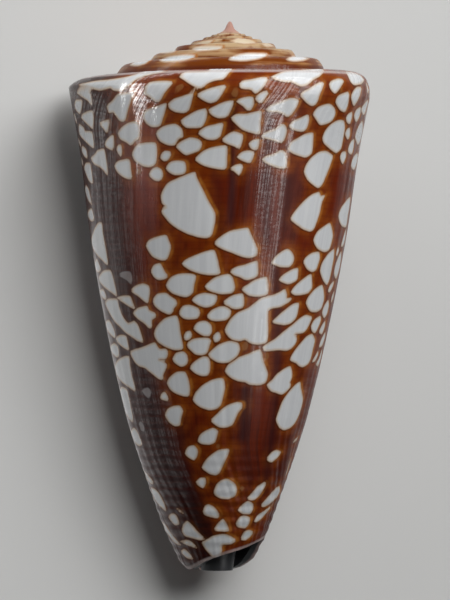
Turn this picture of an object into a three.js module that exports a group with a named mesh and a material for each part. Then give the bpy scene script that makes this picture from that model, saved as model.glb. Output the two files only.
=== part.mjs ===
// A noble cone: the empty shell of a sea snail, one solid with its real spiral hollow.
// It lies on its aperture, spire towards +Y and back up, with the ground at z = 0.
// Lengths are in millimetres. Age counts whorls back from the outer lip: 0 is the lip, -1 a whorl before it.
import * as THREE from "three";

// Overall size and coiling
const LENGTH = 46; // from the apex to the front tip
const LIP_RADIUS = 13.6; // greatest radius at the outer lip
const GROWTH = 1.42; // how much wider each whorl is than the one before
const BODY_SWELL = 0.065; // extra width of the last whorl, halfway along
const BODY_SWELL_START = -1.133;
const LEAN = 1; // how far the front tip leans towards the lip
const LIP_ANGLE = 132.6; // from the middle of the back, in degrees, positive towards the lip

// Spire
const SPIRE_SLOPE = 0.315; // fall of the shoulder for each millimetre of radius
const MUCRO_HEIGHT = 0.64; // the sharp point on top of the spire
const MUCRO_RADIUS = 0.3;
const STEP_HEIGHT = 0.115; // the sloping step outside each shoulder, as shares of the radius
const STEP_WIDTH = 0.07;
const LIP_STEP = 0.6; // how much lower the step is at the lip
const RAMP_DROOP = 0.6; // share of the ramp's fall that comes near the shoulder
const OLDEST = -7; // age at which the whorls run into the point

// Side: how wide it is, as a share of the shoulder, at shares of the way down
const SIDE_PROFILE = [
  [0, 1],
  [0.13, 0.922],
  [0.3, 0.85],
  [0.5, 0.733],
  [0.67, 0.606],
  [0.75, 0.527],
  [0.83, 0.436],
  [0.915, 0.333],
  [0.96, 0.268],
  [0.985, 0.232],
  [1, 0.2],
];
const PILLAR_WAIST = 0.52; // how much the whorl narrows to the pillar on the aperture side
const PILLAR_FOOT = 0.45; // share of that narrowing that is lost again at the front tip
const LIP_BULGE = 6; // degrees that the middle of the lip stands ahead of its ends
const LIP_RETREAT = 22; // degrees that its front end falls back

// Wall
const WALL = 1.1;
const LIP_EDGE = 0.55;
const INNER_WALL = 0.6;
const FRONT_THINNING = 0.35;

// Ends of the hollow, as ages
const MOUTH_END = -0.75; // the front opening runs from the lip back to here
const HOLLOW_END = -1.5;
const PILLAR_END_INSET = 0.3; // the pillar's end is hollowed by this much at its middle

// Depth of the front edge below the apex, at shares of a whorl behind the lip
const FRONT_EDGE = [
  [0, 44.8],
  [0.05, 45.7],
  [0.1, 45.6],
  [0.2, 44.8],
  [0.28, 44.25],
  [0.35, 43.8],
  [0.42, 43.3],
  [0.47, 43.3],
  [0.52, 44.4],
  [0.56, 45.3],
  [0.62, 45.8],
  [0.7, 46],
  [1, 45.9],
];
const PILLAR_CLIMB = 1.8; // how fast the hollow's floor climbs behind the mouth

// Mesh
const COLUMNS = 48; // in each whorl
const RAMP_SHARES = [0.35, 0.75, 0.95, 1];
const SIDE_SHARES = [
  0.07, 0.15, 0.25, 0.36, 0.47, 0.58, 0.68, 0.77, 0.85, 0.91, 0.96, 1,
];

// How it lies on the ground, in degrees
const LIE_TILT = 7.5;

const DEGREE = Math.PI / 180;
const mix = THREE.MathUtils.lerp;

function smooth(low, high, x) {
  return THREE.MathUtils.smoothstep(x, low, high);
}

// A smooth curve through [x, y] pairs.
function curveThrough(pairs) {
  const last = pairs.length - 1;
  return (x) => {
    const next = pairs.findIndex(([at]) => at > x);
    const i = next < 0 ? last - 1 : Math.max(0, next - 1);
    const [before, from, to, after] = [i - 1, i, i + 1, i + 2].map(
      (k) => pairs[THREE.MathUtils.clamp(k, 0, last)],
    );
    const width = to[0] - from[0];
    const share = (x - from[0]) / width;
    const slopeFrom = (to[1] - before[1]) / (to[0] - before[0]);
    const slopeTo = (after[1] - from[1]) / (after[0] - from[0]);
    return (
      mix(from[1], to[1], smooth(0, 1, share)) +
      width * slopeFrom * share * (1 - share) ** 2 -
      width * slopeTo * share ** 2 * (1 - share)
    );
  };
}

const frontEdge = curveThrough(FRONT_EDGE);
const sideProfile = curveThrough(SIDE_PROFILE);

function shoulderRadius(age) {
  const along = THREE.MathUtils.clamp(age - BODY_SWELL_START, 0, 1);
  const swell = BODY_SWELL * Math.sin(Math.PI * along) ** 2;
  return LIP_RADIUS * GROWTH ** age * (1 + swell);
}

function shoulderDepth(age) {
  const radius = shoulderRadius(age);
  const mucro = MUCRO_HEIGHT * (1 - Math.exp(-radius / MUCRO_RADIUS));
  return SPIRE_SLOPE * radius + mucro;
}

function stepHeight(age) {
  const share = 1 - LIP_STEP * smooth(-0.3, 0, age);
  return STEP_HEIGHT * shoulderRadius(age) * share;
}

// Each suture lies at the foot of the step on the whorl before.
function sutureDepth(age) {
  return shoulderDepth(age - 1) + stepHeight(age - 1);
}

// Radius of a whorl's side at a depth: out over the step, then in towards the front.
// A whorl before the lip, the side also narrows to the pillar.
function sideRadius(age, depth) {
  const top = shoulderDepth(age);
  const foot = top + stepHeight(age);
  const down = THREE.MathUtils.clamp((depth - foot) / (LENGTH - foot), 0, 1);
  const aboveStep = THREE.MathUtils.clamp((foot - depth) / (foot - top), 0, 1);
  const narrowing = smooth(0.3, 1, down) * (1 - PILLAR_FOOT * smooth(0.8, 1, down));
  const waist = PILLAR_WAIST * narrowing * smooth(0.58, 1.08, -age);
  const step = 1 - STEP_WIDTH * aboveStep ** 1.5;
  return shoulderRadius(age) * sideProfile(down) * step * (1 - waist);
}

// How deep a whorl reaches.
function frontDepth(age) {
  if (age >= -1) return frontEdge(-age);
  const behind = Math.min(0, age - (MOUTH_END - 1));
  return frontEdge(1) * GROWTH ** (PILLAR_CLIMB * behind);
}

function wallThickness(age, down) {
  const body = mix(LIP_EDGE, WALL, smooth(0, 0.1, -age));
  const thick = mix(body, INNER_WALL, smooth(0.9, 1.1, -age));
  return thick * (1 - FRONT_THINNING * smooth(0.6, 1, down));
}

// The ramp's fall from suture to shoulder, 0 to 1.
function rampFall(share) {
  return (1 - RAMP_DROOP) * share + RAMP_DROOP * share ** 4;
}

// Depths of each whorl's rows. The first row is the shoulder, the second the next suture, the third lies
// a wall's thickness below that, and the others follow down the side to the front.
function sideDepths(age) {
  const shoulder = shoulderDepth(age);
  const suture = sutureDepth(age + 1);
  const below = suture + wallThickness(Math.min(0, age + 1), 0);
  const rows = SIDE_SHARES.map((share) => mix(below, frontDepth(age), share));
  return [shoulder, suture, below, ...rows];
}

const ROWS = SIDE_SHARES.length + 3;

// How far the lip's edge, and each growth line behind it, stands ahead at a row, in degrees.
function lag(row) {
  const down = row > 2 ? SIDE_SHARES[row - 3] : 0;
  return (
    LIP_BULGE * Math.sin(Math.PI * down) - LIP_RETREAT * smooth(0.75, 1, down)
  );
}

function outerPoint(age, row) {
  const depth = sideDepths(age)[row];
  return { age, row, radius: sideRadius(age, depth), depth };
}

function outerRamp(age, share) {
  const from = outerPoint(age - 1, 1);
  const to = outerPoint(age, 0);
  const radius = mix(from.radius, to.radius, share);
  const depth = mix(from.depth, to.depth, rampFall(share));
  return { age, row: 0, radius, depth };
}

// The wall's inside, which is the outer face of the hollow.
function innerPoint(age, row) {
  const outside = sideDepths(age);
  const top = shoulderDepth(age);
  const share = (outside[row] - top) / (frontDepth(age) - top);
  const innerTop = top + wallThickness(age, 0);
  const floor =
    age >= MOUTH_END ? frontDepth(age) : Math.min(frontDepth(age), frontDepth(age - 1));
  const depth = mix(innerTop, floor, share);
  const thick = wallThickness(age, share);
  return { age, row, radius: sideRadius(age, depth) - thick, depth };
}

function innerRamp(age, share) {
  const from = outerPoint(age - 1, 2);
  const to = innerPoint(age, 0);
  const radius = mix(from.radius, to.radius, share);
  const depth = mix(from.depth, to.depth, rampFall(share));
  return { age, row: 0, radius, depth };
}

const positions = [];
const faces = [];

function vertex({ age, row, radius, depth }) {
  const angle = (LIP_ANGLE + 360 * age + lag(row)) * DEGREE;
  const lean = (LEAN * depth) / LENGTH;
  const across = radius * Math.sin(angle) + lean * Math.sin(LIP_ANGLE * DEGREE);
  const back = radius * Math.cos(angle) + lean * Math.cos(LIP_ANGLE * DEGREE);
  positions.push(-across, -back, -depth);
  return positions.length / 3 - 1;
}

// Faces between two columns of vertices that run from the suture to the front, the older column first.
function sheet(older, younger) {
  for (let i = 0; i + 1 < older.length; i++) {
    faces.push(older[i], younger[i], younger[i + 1]);
    faces.push(older[i], younger[i + 1], older[i + 1]);
  }
}

function fan(centre, loop) {
  for (let i = 0; i + 1 < loop.length; i++) {
    faces.push(centre, loop[i], loop[i + 1]);
  }
}

const rowNumbers = [...Array(ROWS).keys()];
const oldest = OLDEST * COLUMNS;
const mouthEnd = Math.round(MOUTH_END * COLUMNS);
const hollowEnd = Math.round(HOLLOW_END * COLUMNS);

// The outside. Column c has the age c / COLUMNS, and each ramp starts on the suture row of the whorl above.
const outside = new Map();
for (let c = oldest; c <= 0; c++) {
  const age = c / COLUMNS;
  const above = outside.get(c - COLUMNS);
  const suture = above ? above.side[1] : vertex(outerRamp(age, 0));
  const ramp = RAMP_SHARES.slice(0, -1).map((share) => vertex(outerRamp(age, share)));
  const rows = c < -COLUMNS ? rowNumbers.slice(0, 2) : rowNumbers;
  const side = rows.map((row) => vertex(outerPoint(age, row)));
  outside.set(c, { suture, side, all: [suture, ...ramp, ...side] });
}
for (let c = oldest; c < 0; c++) {
  const length = c < -COLUMNS ? RAMP_SHARES.length + 2 : Infinity;
  sheet(outside.get(c).all.slice(0, length), outside.get(c + 1).all.slice(0, length));
}

// The point of the spire.
const apex = vertex({ age: 0, row: 0, radius: 0, depth: 0 });
const firstWhorl = [...Array(COLUMNS + 1).keys()].map(
  (i) => outside.get(oldest + i).suture,
);
fan(apex, [firstWhorl[0], ...firstWhorl.reverse()]);
const start = outside.get(oldest).all;
fan(start[0], start.slice(1));

// The hollow: the inside of the outer wall, and the whorl before it.
const inside = new Map();
for (let c = 0; c >= hollowEnd; c--) {
  const age = c / COLUMNS;
  const pillar =
    c === 0
      ? outside.get(-COLUMNS).side.slice(2)
      : rowNumbers.slice(2).map((row) => vertex(outerPoint(age - 1, row)));
  const ramp = RAMP_SHARES.slice(0, -1).map((share) => vertex(innerRamp(age, share)));
  const side = rowNumbers.map((row) => vertex(innerPoint(age, row)));
  inside.set(c, { pillar, wall: [pillar[0], ...ramp, ...side] });
}
for (let c = 0; c > hollowEnd; c--) {
  sheet(inside.get(c).wall, inside.get(c - 1).wall);
  sheet(inside.get(c - 1).pillar, inside.get(c).pillar);
}

// The outer lip's edge, and the hollow's far end.
sheet(outside.get(0).all, inside.get(0).wall);
const end = inside.get(hollowEnd);
const crown = RAMP_SHARES.length + 2;
fan(end.pillar[0], end.wall.slice(1, crown + 1).reverse());
sheet(end.wall.slice(crown), end.pillar);

// The front: the wall's edge round the mouth, the hollow's floor behind it, and the pillar's end.
for (let c = mouthEnd; c < 0; c++) {
  const columns = [c, c + 1].map((i) => [outside.get(i).side.at(-1), inside.get(i).wall.at(-1)]);
  sheet(columns[0], columns[1]);
}
for (let c = mouthEnd; c > hollowEnd; c--) {
  const columns = [c, c - 1].map((i) => [inside.get(i).wall.at(-1), inside.get(i).pillar.at(-1)]);
  sheet(columns[0], columns[1]);
}
const pillarEnd = vertex({ age: 0, row: 0, radius: 0, depth: LENGTH - PILLAR_END_INSET });
const pillarLoop = [];
for (let c = -COLUMNS; c <= mouthEnd; c++) pillarLoop.push(outside.get(c).side.at(-1));
pillarLoop.push(inside.get(mouthEnd).wall.at(-1));
for (let c = mouthEnd; c <= 0; c++) pillarLoop.push(inside.get(c).pillar.at(-1));
fan(pillarEnd, pillarLoop);

const geometry = new THREE.BufferGeometry();
geometry.setAttribute("position", new THREE.Float32BufferAttribute(positions, 3));
geometry.setIndex(faces);
geometry.computeVertexNormals();

const shellMaterial = new THREE.MeshStandardMaterial({
  color: new THREE.Color(0.55, 0.3, 0.14),
  roughness: 0.28,
  metalness: 0,
});

const shell = new THREE.Mesh(geometry, shellMaterial);
shell.name = "shell";

const lying = new THREE.Group();
lying.rotation.x = (LIE_TILT - 90) * DEGREE;
lying.add(shell);
lying.updateMatrixWorld(true);

// Put it on the ground, over the origin.
const bounds = new THREE.Box3().setFromObject(lying, true);
const middle = bounds.getCenter(new THREE.Vector3());
lying.position.set(-middle.x, -middle.y, -bounds.min.z);

const part = new THREE.Group();
part.add(lying);

export default part;
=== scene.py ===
import math

import bmesh
import bpy
import numpy as np
from mathutils import Matrix, Vector
from mathutils.bvhtree import BVHTree


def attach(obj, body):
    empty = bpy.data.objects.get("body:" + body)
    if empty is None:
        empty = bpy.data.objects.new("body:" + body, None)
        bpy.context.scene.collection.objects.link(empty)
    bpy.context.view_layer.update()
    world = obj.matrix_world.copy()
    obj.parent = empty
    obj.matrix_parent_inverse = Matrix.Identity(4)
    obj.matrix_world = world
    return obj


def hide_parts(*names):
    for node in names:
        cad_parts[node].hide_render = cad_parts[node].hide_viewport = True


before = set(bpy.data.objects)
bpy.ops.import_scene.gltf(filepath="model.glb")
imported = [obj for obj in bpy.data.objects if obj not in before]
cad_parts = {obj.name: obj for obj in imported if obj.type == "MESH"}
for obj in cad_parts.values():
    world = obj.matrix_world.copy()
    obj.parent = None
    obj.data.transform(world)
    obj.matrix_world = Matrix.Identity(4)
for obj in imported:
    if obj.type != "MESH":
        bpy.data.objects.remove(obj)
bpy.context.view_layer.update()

# A noble cone shell. Lengths are in millimetres, and become metres where an object is made from them.
# Age counts whorls back from the outer lip: 0 is the lip, -1 a whorl before it.
MM = 0.001
SEED = 11

# Size and coiling, as in the solid
LENGTH = 46
LIP_RADIUS = 13.6
GROWTH = 1.42
BODY_SWELL = 0.065
BODY_SWELL_START = -1.133
LEAN = 1
LIP_ANGLE = 132.6
SPIRE_SLOPE = 0.315
MUCRO_HEIGHT = 0.64
MUCRO_RADIUS = 0.3
STEP_HEIGHT = 0.115
STEP_WIDTH = 0.07
STEP_CURVE = 1.5
LIP_STEP = 0.6
LIP_STEP_START = -0.3  # age from which the step grows lower towards the lip
RAMP_DROOP = 0.6
RAMP_CURVE = 4
WHORLS = 7
SIDE_PROFILE = [
    (0, 1), (0.13, 0.922), (0.3, 0.85), (0.5, 0.733), (0.67, 0.606), (0.75, 0.527),
    (0.83, 0.436), (0.915, 0.333), (0.96, 0.268), (0.985, 0.232), (1, 0.2),
]
PILLAR_WAIST = 0.52
WAIST_AGES = (0.58, 1.08)  # whorls behind the lip, between which the waist sets in
WAIST_TOP = 0.3  # share of the way down the side, as the next tops and starts are
PILLAR_FOOT = 0.45
FOOT_TOP = 0.8
LIP_BULGE = 6
LIP_RETREAT = 22
LIP_RETREAT_START = 0.75
WALL = 1.1
LIP_EDGE = 0.55
LIP_EDGE_END = 0.1  # whorls behind the lip, where the wall has its full thickness
INNER_WALL = 0.6
INNER_WALL_AGES = (0.9, 1.1)  # whorls behind the lip, between which the wall grows thin
FRONT_THINNING = 0.35
FRONT_THINNING_START = 0.6
MOUTH_END = 0.75
HOLLOW_END = 1.5
FRONT_EDGE = [
    (0, 44.8), (0.05, 45.7), (0.1, 45.6), (0.2, 44.8), (0.28, 44.25), (0.35, 43.8), (0.42, 43.3),
    (0.47, 43.3), (0.52, 44.4), (0.56, 45.3), (0.62, 45.8), (0.7, 46), (1, 45.9),
]
PILLAR_CLIMB = 1.8
PILLAR_END_INSET = 0.3
LIE_TILT = 7.5

# Fineness of the mesh
SEEN_SHARE = 0.56  # share of a whorl, counted back from the lip, that faces the camera
SEEN_COLUMNS = 196
UNSEEN_COLUMNS = 100
COLUMNS = SEEN_COLUMNS + UNSEEN_COLUMNS
RAMP_ROWS = 7
STEP_ROWS = 5
SIDE_ROWS = 176
INNER_ROWS = 14
INNER_RAMP_ROWS = 4
INNER_ROW_SPREAD = 1.3
SHARP_ANGLE = 50

# The photograph: 450 by 600 pixels, with the shell's axis upright in it
PHOTO_WIDTH = 450
PHOTO_HEIGHT = 600
APEX_X = 230
APEX_Y = 21.5
PIXELS_PER_MM = 550 / 46
CAMERA_DISTANCE = 420
LIP_FROM_CAMERA = 105  # degrees round the axis, from the side that faces the camera to the lip
SENSOR = 36


def mix(low, high, share):
    return low + (high - low) * share


def smooth(low, high, x):
    share = np.clip((x - low) / (high - low), 0, 1)
    return share * share * (3 - 2 * share)


def curve_through(pairs):
    """A smooth curve through (x, y) pairs, as a function of arrays."""
    xs, ys = (np.array(values, float) for values in zip(*pairs))
    last = len(xs) - 1

    def curve(x):
        i = np.clip(np.searchsorted(xs, x, side="right") - 1, 0, last - 1)
        before, after = np.maximum(i - 1, 0), np.minimum(i + 2, last)
        width = xs[i + 1] - xs[i]
        share = (x - xs[i]) / width
        slope_from = (ys[i + 1] - ys[before]) / (xs[i + 1] - xs[before])
        slope_to = (ys[after] - ys[i]) / (xs[after] - xs[i])
        return (
            mix(ys[i], ys[i + 1], smooth(0, 1, share))
            + width * slope_from * share * (1 - share) ** 2
            - width * slope_to * share**2 * (1 - share)
        )

    return curve


front_edge = curve_through(FRONT_EDGE)
side_profile = curve_through(SIDE_PROFILE)


def shoulder_radius(age):
    along = np.clip(age - BODY_SWELL_START, 0, 1)
    return LIP_RADIUS * GROWTH**age * (1 + BODY_SWELL * np.sin(math.pi * along) ** 2)


def shoulder_depth(age):
    radius = shoulder_radius(age)
    return SPIRE_SLOPE * radius + MUCRO_HEIGHT * (1 - np.exp(-radius / MUCRO_RADIUS))


def foot_depth(age):
    """Depth of the foot of the step outside a shoulder, where the next whorl is joined on."""
    step = STEP_HEIGHT * shoulder_radius(age) * (1 - LIP_STEP * smooth(LIP_STEP_START, 0, age))
    return shoulder_depth(age) + step


def side_radius(age, depth):
    top, foot = shoulder_depth(age), foot_depth(age)
    down = np.clip((depth - foot) / (LENGTH - foot), 0, 1)
    above_step = np.clip((foot - depth) / (foot - top), 0, 1)
    narrowing = smooth(WAIST_TOP, 1, down) * (1 - PILLAR_FOOT * smooth(FOOT_TOP, 1, down))
    waist = PILLAR_WAIST * narrowing * smooth(*WAIST_AGES, -age)
    step = 1 - STEP_WIDTH * above_step**STEP_CURVE
    return shoulder_radius(age) * side_profile(down) * step * (1 - waist)


def front_depth(age):
    if age >= -1:
        return front_edge(-age)
    climb = PILLAR_CLIMB * min(0, age + MOUTH_END + 1)
    return front_edge(1) * GROWTH**climb


def wall_thickness(age, down):
    body = mix(LIP_EDGE, WALL, smooth(0, LIP_EDGE_END, -age))
    thick = mix(body, INNER_WALL, smooth(*INNER_WALL_AGES, -age))
    return thick * (1 - FRONT_THINNING * smooth(FRONT_THINNING_START, 1, down))


def ramp_fall(share):
    return (1 - RAMP_DROOP) * share + RAMP_DROOP * share**RAMP_CURVE


def lag(down):
    """How far a growth line stands ahead at a share of the way down the side, in degrees."""
    return LIP_BULGE * np.sin(math.pi * down) - LIP_RETREAT * smooth(LIP_RETREAT_START, 1, down)


# The shell's own axes have the apex at the origin and the spire upwards. A point in them has an angle
# round the axis in degrees, a radius and a depth below the apex.
lean_angle = math.radians(LIP_ANGLE)


def place(angle, radius, depth):
    turn = np.radians(angle)
    across = radius * np.sin(turn) + LEAN * math.sin(lean_angle) * depth / LENGTH
    back = radius * np.cos(turn) + LEAN * math.cos(lean_angle) * depth / LENGTH
    return np.stack([-across, -back, -depth], axis=-1)


OUTSIDE, BETWEEN, INSIDE = 0, 0.5, 1  # what a vertex's field inside says


class ShellMesh:
    """Collects columns of vertices, and the faces between them."""

    FIELDS = ("age", "down", "radius", "depth", "inside")

    def __init__(self):
        self.fields = {name: [] for name in self.FIELDS}
        self.count = 0
        self.faces = []

    def column(self, age, down, radius, depth, inside):
        """Adds a column of vertices and returns their numbers."""
        values = np.broadcast_arrays(*map(np.atleast_1d, (age, down, radius, depth, inside)))
        for name, value in zip(self.FIELDS, values):
            self.fields[name].extend(value.tolist())
        first = self.count
        self.count += len(values[0])
        return list(range(first, self.count))

    def lengths(self, column):
        """How far along a column each of its vertices lies, 0 to 1."""
        radius = np.array([self.fields["radius"][i] for i in column])
        depth = np.array([self.fields["depth"][i] for i in column])
        steps = np.hypot(np.diff(radius), np.diff(depth))
        along = np.concatenate([[0], np.cumsum(steps)])
        return along / along[-1]

    def sheet(self, older, younger):
        """Faces between two columns with the same rows."""
        self.faces += zip(older[:-1], younger[:-1], younger[1:], older[1:])

    def zipper(self, older, younger):
        """Triangles between two columns with unlike rows."""
        older_along, younger_along = self.lengths(older), self.lengths(younger)
        i = j = 0
        while i + 1 < len(older) or j + 1 < len(younger):
            older_next = older_along[i + 1] if i + 1 < len(older) else math.inf
            younger_next = younger_along[j + 1] if j + 1 < len(younger) else math.inf
            if older_next <= younger_next:
                self.faces.append((older[i], younger[j], older[i + 1]))
                i += 1
            else:
                self.faces.append((older[i], younger[j], younger[j + 1]))
                j += 1

    def fan(self, centre, loop):
        self.faces += [(centre, here, after) for here, after in zip(loop[:-1], loop[1:])]


def age_of_column(k):
    """Columns are counted back from the lip, and are closer together where the camera sees them."""
    whorls, within = divmod(k, COLUMNS)
    if within < SEEN_COLUMNS:
        return -(whorls + SEEN_SHARE * within / SEEN_COLUMNS)
    return -(whorls + mix(SEEN_SHARE, 1, (within - SEEN_COLUMNS) / UNSEEN_COLUMNS))


# Fine relief of the outside
WAVE_COUNT = 14
WAVE_HEIGHT = 0.0045
WAVE_RATES = (9, 60)  # waves in a whorl
WAVE_STARTS = (0, 6.28)  # radians
CORD_SPACING = 0.85
CORD_HEIGHT = 0.03
CORD_DEPTHS = (33, 41)  # between which the cords set in
FASCIOLE_HEIGHT = 0.16
FASCIOLE_WIDTH = 0.55
FASCIOLE_DEPTH = 45.2
FASCIOLE_CLIMB = 4.2  # in a whorl
FASCIOLE_AGES = (0.42, 0.5)  # whorls behind the lip, where it sets in
wave_random = np.random.default_rng(SEED)
waves = [
    (wave_random.uniform(*WAVE_RATES), wave_random.uniform(*WAVE_STARTS)) for _ in range(WAVE_COUNT)
]


def relief(age, depth):
    """Growth waves, spiral cords near the front, and the ridge round the pillar's foot."""
    wave = sum(math.sin(2 * math.pi * rate * age + start) for rate, start in waves)
    cords = np.cos(2 * math.pi * depth / CORD_SPACING) * smooth(*CORD_DEPTHS, depth)
    ridge_depth = FASCIOLE_DEPTH - FASCIOLE_CLIMB * min(max(-age - FASCIOLE_AGES[0], 0), 1)
    ridge = np.exp(-(((depth - ridge_depth) / FASCIOLE_WIDTH) ** 2)) * smooth(*FASCIOLE_AGES, -age)
    return WAVE_HEIGHT * wave + CORD_HEIGHT * cords + FASCIOLE_HEIGHT * ridge


def soften(values, first, last, weight, times):
    """Rounds off the rows from first to before last."""
    out = values.copy()
    for _ in range(times):
        out[first:last] = (out[first - 1 : last - 1] + 2 * out[first:last] + out[first + 1 : last + 1]) / 4
    return mix(values, out, weight)


CORNER = RAMP_ROWS - 1  # row of the shoulder in a column, after its suture
FOOT = CORNER + STEP_ROWS
ROUNDED_ROWS = (FOOT - 2, FOOT + 8)  # the step's foot, which the last whorl rounds off
ROUNDING_TIMES = 8
LIP_ROUNDING = 0.15
LIP_ROUNDING_AGES = (0.02, 0.3)  # whorls behind the lip, between which the rounding grows full
SETTLING = 0.08  # of a whorl, over which the last whorl takes on its rounding and relief
RELIEF_RISE = 2  # below the shoulder, over which the relief rises to its full height


def outer_column(shell, age, start, whole):
    """One column of the outside, from after its suture to its foot, or on to the front."""
    top, foot = shoulder_depth(age), foot_depth(age)
    ramp = np.arange(1, RAMP_ROWS) / RAMP_ROWS
    step_depth = mix(top, foot, np.arange(STEP_ROWS + 1) / STEP_ROWS)
    radius = np.concatenate([mix(start[0], side_radius(age, top), ramp), side_radius(age, step_depth)])
    depth = np.concatenate([mix(start[1], top, ramp_fall(ramp)), step_depth])
    down = np.zeros(len(depth))
    if whole:
        below = foot + wall_thickness(min(0, age + 1), 0)
        share = np.arange(SIDE_ROWS + 1) / SIDE_ROWS
        side_depth = mix(below, front_depth(age), share)
        depth = np.concatenate([depth, side_depth])
        radius = np.concatenate([radius, side_radius(age, side_depth)])
        down = np.concatenate([down, share])
        settled = smooth(0, SETTLING, 1 + age)
        rounding = settled * mix(LIP_ROUNDING, 1, smooth(*LIP_ROUNDING_AGES, -age))
        radius = soften(radius, *ROUNDED_ROWS, rounding, ROUNDING_TIMES)
        radius += relief(age, depth) * smooth(0, RELIEF_RISE, depth - top) * settled
    radius = soften(radius, CORNER - 1, CORNER + 2, 1, 1)
    depth = soften(depth, CORNER - 1, CORNER + 2, 1, 1)
    return shell.column(age, down, radius, depth, OUTSIDE)


def inner_column(shell, age, start):
    """One column of the hollow's outer face, from after its start on the whorl before."""
    top, front = shoulder_depth(age), front_depth(age)
    floor = front if age >= -MOUTH_END else min(front, front_depth(age - 1))
    share = np.linspace(0, 1, INNER_ROWS) ** INNER_ROW_SPREAD
    depth = mix(top + wall_thickness(age, 0), floor, share)
    radius = side_radius(age, depth) - wall_thickness(age, share)
    ramp = np.arange(1, INNER_RAMP_ROWS) / INNER_RAMP_ROWS
    radius = np.concatenate([mix(start[0], radius[0], ramp), radius])
    depth = np.concatenate([mix(start[1], depth[0], ramp_fall(ramp)), depth])
    down = np.concatenate([np.zeros(len(ramp)), share])
    return shell.column(age, down, radius, depth, INSIDE)


EDGE_AGE = 0.003  # how far the middle of the lip's rounded edge stands ahead


def make_outside(shell):
    """The outside, from the oldest column to the lip. Each ramp starts on the foot of the whorl above."""
    oldest = WHORLS * COLUMNS
    outside = {}
    for k in range(oldest, -1, -1):
        age = age_of_column(k)
        if k + COLUMNS in outside:
            suture = outside[k + COLUMNS][FOOT + 1]
        else:
            start_depth = foot_depth(age - 1)
            suture = shell.column(age, 0, side_radius(age - 1, start_depth), start_depth, OUTSIDE)[0]
        start = shell.fields["radius"][suture], shell.fields["depth"][suture]
        outside[k] = [suture] + outer_column(shell, age, start, k <= COLUMNS)
    for k in range(oldest, 0, -1):
        rows = slice(None) if k <= COLUMNS else slice(0, FOOT + 2)
        shell.sheet(outside[k][rows], outside[k - 1][rows])
    shell.fan(outside[oldest][0], outside[oldest][1:])
    make_point(shell, [outside[oldest - i][0] for i in range(COLUMNS + 1)])
    return outside


POINT_RINGS = (0.8, 0.62, 0.48, 0.38, 0.29, 0.21, 0.13, 0.06)
POINT_HOLLOWING = 0.55
POINT_BLUNTNESS = 0.42


def make_point(shell, first_whorl):
    """The sharp point on the oldest whorl, in rings that narrow to the apex."""
    ring = first_whorl
    for share in POINT_RINGS:
        narrower = []
        for i in first_whorl:
            own_age, own_radius, own_depth = (shell.fields[name][i] for name in ("age", "radius", "depth"))
            at_edge = 1 - math.exp(-own_radius / MUCRO_RADIUS)
            hollow = (1 - math.exp(-share * own_radius / MUCRO_RADIUS)) / at_edge
            depth = own_depth * mix(share, hollow, POINT_HOLLOWING) * smooth(0, POINT_BLUNTNESS, share)
            narrower += shell.column(own_age, 0, share * own_radius, depth, OUTSIDE)
        shell.sheet(ring[::-1], narrower[::-1])
        shell.faces.append((ring[0], ring[-1], narrower[-1], narrower[0]))
        ring = narrower
    apex = shell.column(-WHORLS, 0, 0, 0, OUTSIDE)[0]
    shell.fan(apex, [ring[0]] + ring[::-1])


def make_hollow(shell, outside):
    """The inside of the outer wall, and the whorl before it, which is the pillar's side."""
    side_share = np.linspace(0, 1, INNER_ROWS)
    hollow_end = round(HOLLOW_END * COLUMNS)
    pillar, wall = {}, {}
    for k in range(hollow_end + 1):
        age = age_of_column(k)
        top = foot_depth(age - 1) + wall_thickness(age, 0)
        depth = mix(top, front_depth(age - 1), side_share)
        radius = side_radius(age - 1, depth)
        if k == 0:
            pillar[k] = outside[COLUMNS][FOOT + 2 :]
        else:
            pillar[k] = shell.column(age - 1, side_share, radius, depth, INSIDE)
        wall[k] = [pillar[k][0]] + inner_column(shell, age, (radius[0], depth[0]))
    for k in range(hollow_end):
        shell.sheet(wall[k], wall[k + 1])
        shell.zipper(pillar[k + 1], pillar[k])
    end_wall, end_pillar = wall[hollow_end], pillar[hollow_end]
    shell.fan(end_pillar[0], end_wall[1 : INNER_RAMP_ROWS + 1])
    shell.zipper(end_wall[INNER_RAMP_ROWS:], end_pillar)
    return pillar, wall, hollow_end


def make_lip_edge(shell, outer, inner):
    """The lip's rounded edge, from its outside to its inside."""
    fields = (shell.fields[name] for name in ("down", "radius", "depth"))
    down, radius, depth = (np.array([field[i] for i in outer[1:]]) for field in fields)
    half = wall_thickness(0, down) / 2
    on_ramp = np.arange(len(down)) < CORNER
    rim = shell.column(EDGE_AGE, down, radius - half * ~on_ramp, depth + half * on_ramp, BETWEEN)
    shell.faces.append((outer[0], rim[0], outer[1]))
    shell.sheet(outer[1:], rim)
    shell.zipper([outer[0]] + rim, inner)
    shell.faces.append((outer[-1], rim[-1], inner[-1]))


def make_front(shell, outside, pillar, wall, hollow_end):
    """The wall's edge round the mouth, the hollow's floor behind it, and the pillar's end."""
    mouth_end = next(k for k in range(COLUMNS) if -age_of_column(k) >= MOUTH_END)
    for k in range(mouth_end):
        shell.sheet([outside[k][-1], wall[k][-1]], [outside[k + 1][-1], wall[k + 1][-1]])
    for k in range(mouth_end, hollow_end):
        shell.sheet([wall[k][-1], pillar[k][-1]], [wall[k + 1][-1], pillar[k + 1][-1]])
    pillar_end = shell.column(-1, 1, 0, LENGTH - PILLAR_END_INSET, BETWEEN)[0]
    loop = [outside[k][-1] for k in range(COLUMNS, mouth_end - 1, -1)]
    loop += [wall[mouth_end][-1]]
    loop += [pillar[k][-1] for k in range(mouth_end, -1, -1)]
    shell.fan(pillar_end, loop)


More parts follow.
